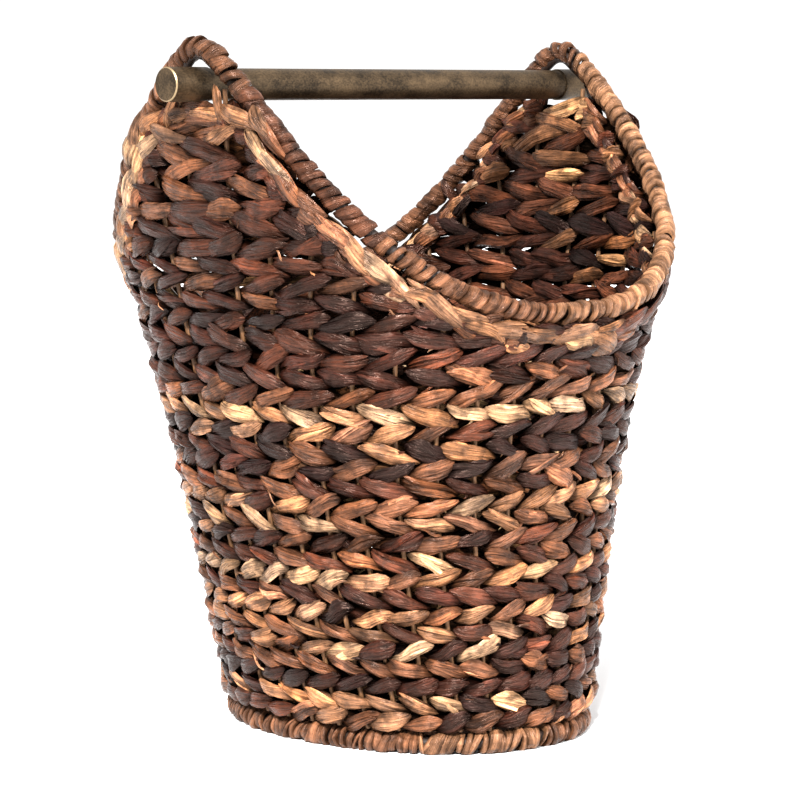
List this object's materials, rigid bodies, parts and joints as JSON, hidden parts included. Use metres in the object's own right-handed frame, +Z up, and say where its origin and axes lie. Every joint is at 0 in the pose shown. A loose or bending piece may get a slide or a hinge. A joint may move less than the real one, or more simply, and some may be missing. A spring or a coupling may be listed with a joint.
{
  "type": "wicker log basket",
  "caption": "Oval woven leaf basket with a saddle rim, two raised ears and a metal pole that slides out through them.",
  "frame": {"origin": "on the ground, under the middle of the basket", "axes": "+Z up, +X along the pole from the left ear to the right ear, +Y across the pole to the back"},
  "size_m": [0.364, 0.3188, 0.4258],
  "materials": {
    "dark_leaf": "satin",
    "wrap_leaf": "satin",
    "pale_leaf": "satin",
    "rattan": "matte",
    "aged_brass": "satin"
  },
  "bodies": {
    "basket": {"rim_core": "rattan", "rim_wrap": "wrap_leaf", "base_hoop_core": "rattan", "base_hoop_wrap": "wrap_leaf", "floor_sticks": "rattan", "floor_rows": "dark_leaf", "stakes_right": "rattan", "stakes_back": "rattan", "stakes_left": "rattan", "stakes_front": "rattan", "course_01": "dark_leaf", "course_02": "dark_leaf", "course_03": "dark_leaf", "course_04": "dark_leaf", "course_05": "dark_leaf", "course_06": "dark_leaf", "course_07": "dark_leaf", "course_08": "dark_leaf", "course_09": "dark_leaf", "course_10": "dark_leaf", "course_11": "dark_leaf", "course_12": "dark_leaf", "course_13": "dark_leaf", "course_14": "dark_leaf", "course_15": "dark_leaf", "course_16": "dark_leaf", "course_17": "dark_leaf", "course_18": "dark_leaf", "course_19": "dark_leaf", "course_20": "dark_leaf", "course_21": "dark_leaf", "course_22": "dark_leaf", "course_23": "dark_leaf", "course_24": "dark_leaf", "course_25": "dark_leaf", "course_26": "dark_leaf", "course_27": "dark_leaf", "course_28": "dark_leaf", "course_29": "dark_leaf", "course_30": "dark_leaf", "course_31": "dark_leaf", "course_32": "dark_leaf", "course_33": "dark_leaf", "course_34": "dark_leaf", "border_strand_back": "pale_leaf", "border_strand_front": "pale_leaf"},
    "pole": {"pole": "aged_brass", "left_end_cap": "aged_brass", "right_end_cap": "aged_brass"}
  },
  "joints": [
    {"name": "pole_slide", "type": "slide", "parent": "basket", "child": "pole", "axis": [1, 0, 0], "range_m": [-0.36, 0.36]}
  ]
}
